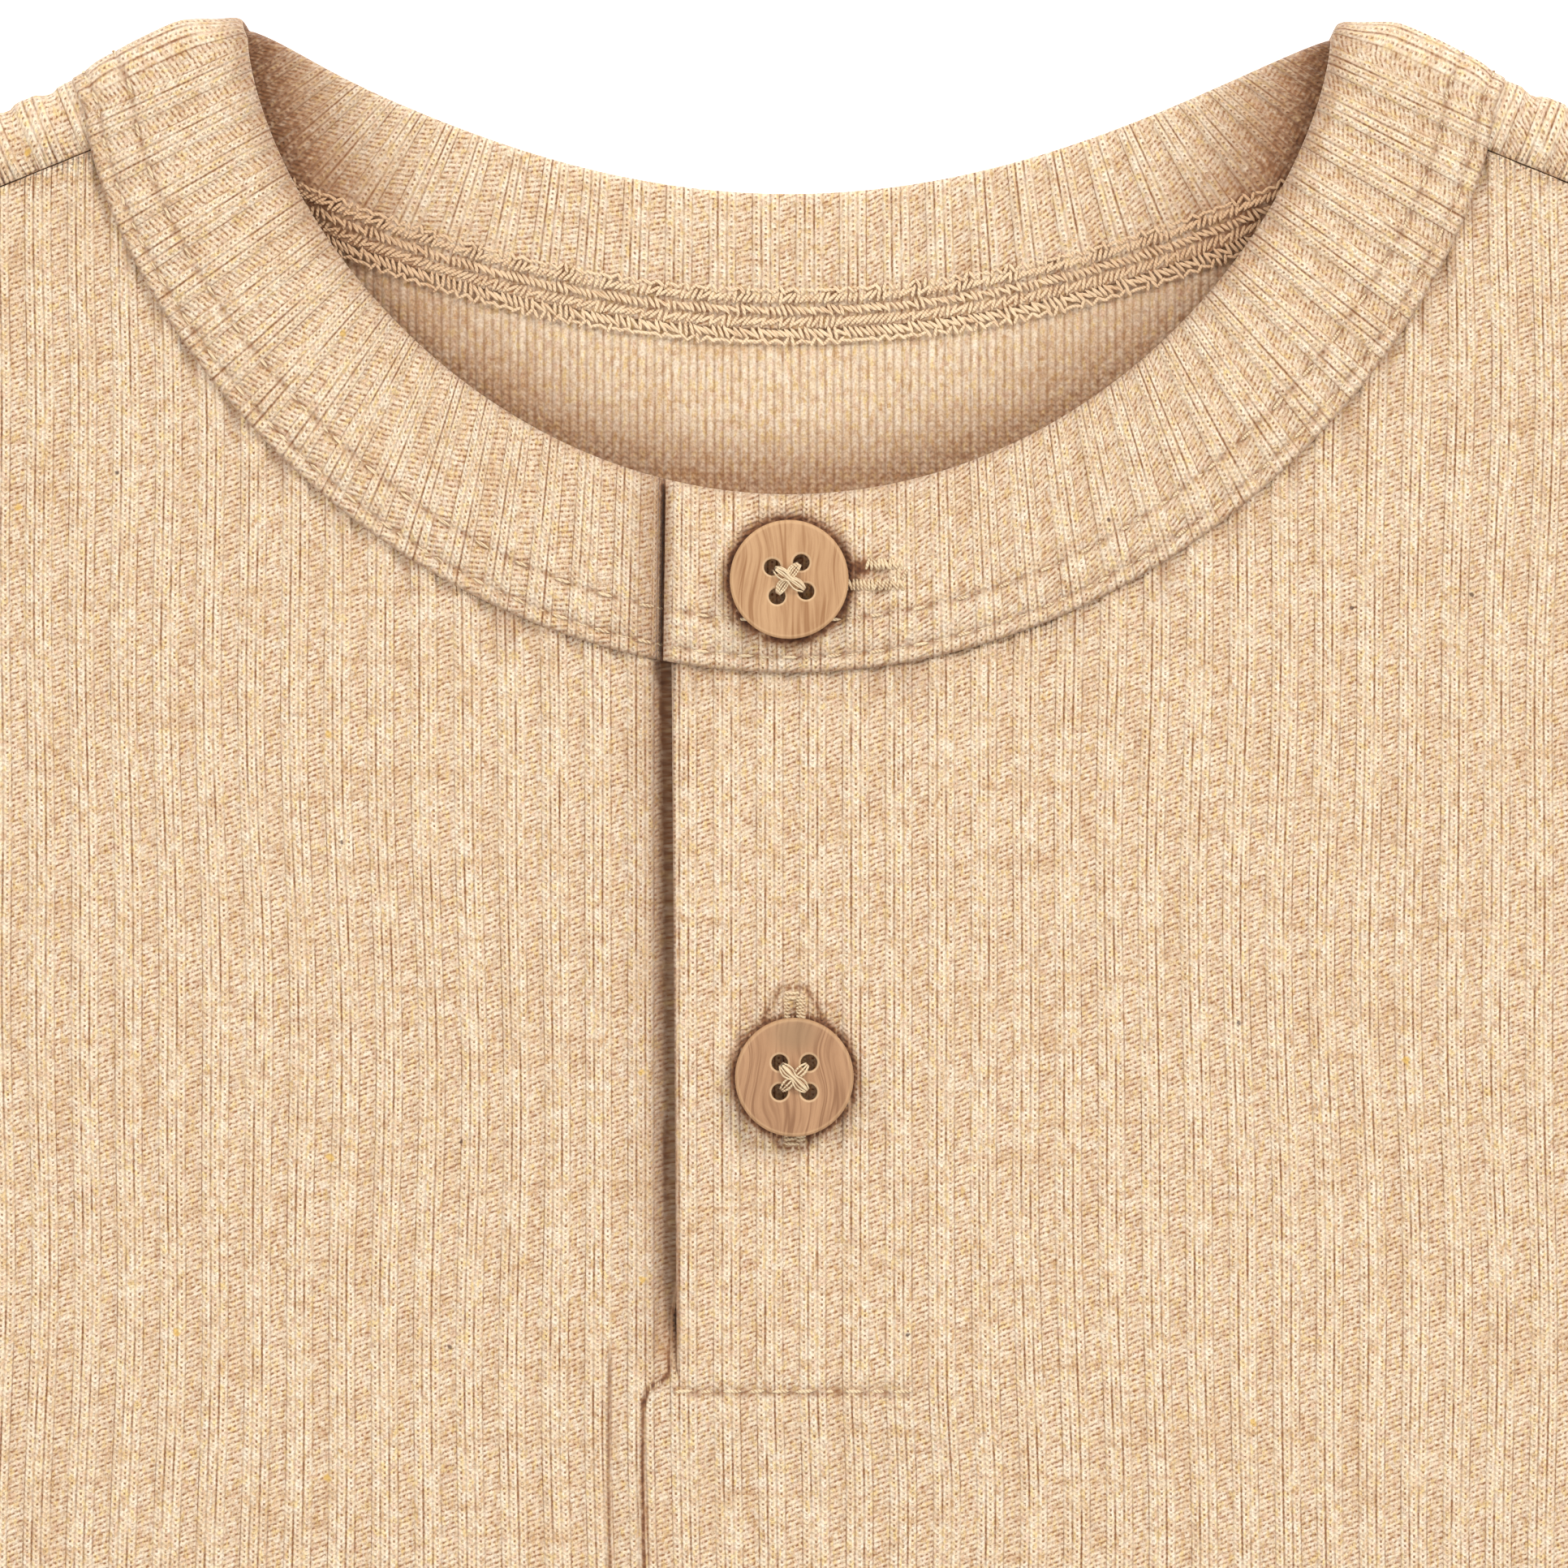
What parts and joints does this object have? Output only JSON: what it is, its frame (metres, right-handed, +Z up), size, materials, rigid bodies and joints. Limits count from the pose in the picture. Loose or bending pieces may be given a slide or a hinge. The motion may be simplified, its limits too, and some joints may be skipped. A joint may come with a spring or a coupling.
{
  "type": "henley romper",
  "caption": "A baby's henley romper in cream rib knit, laid flat, with short sleeves and legs, a folded neckband, a lapped placket with wooden buttons, and snaps at the inseam.",
  "frame": {"origin": "middle of the romper's length and width, on the surface that its back lies on", "axes": "+X to the wearer's left, +Y from the legs to the neck, +Z up from the surface, out of the front"},
  "size_m": [0.4034, 0.4509, 0.01],
  "materials": {
    "rib_knit": "soft heathered rib knit",
    "wood": "satin",
    "snap_metal": "satin"
  },
  "bodies": {
    "root": {"front_panel": "rib_knit", "back_panel": "rib_knit", "sleeve_left": "rib_knit", "sleeve_right": "rib_knit", "neckband": "rib_knit", "placket_under": "rib_knit", "button_top": "wood", "button_lower": "wood", "snap_crotch": "snap_metal", "snap_left_1": "snap_metal", "snap_left_2": "snap_metal", "snap_right_1": "snap_metal", "snap_right_2": "snap_metal"}
  },
  "joints": []
}
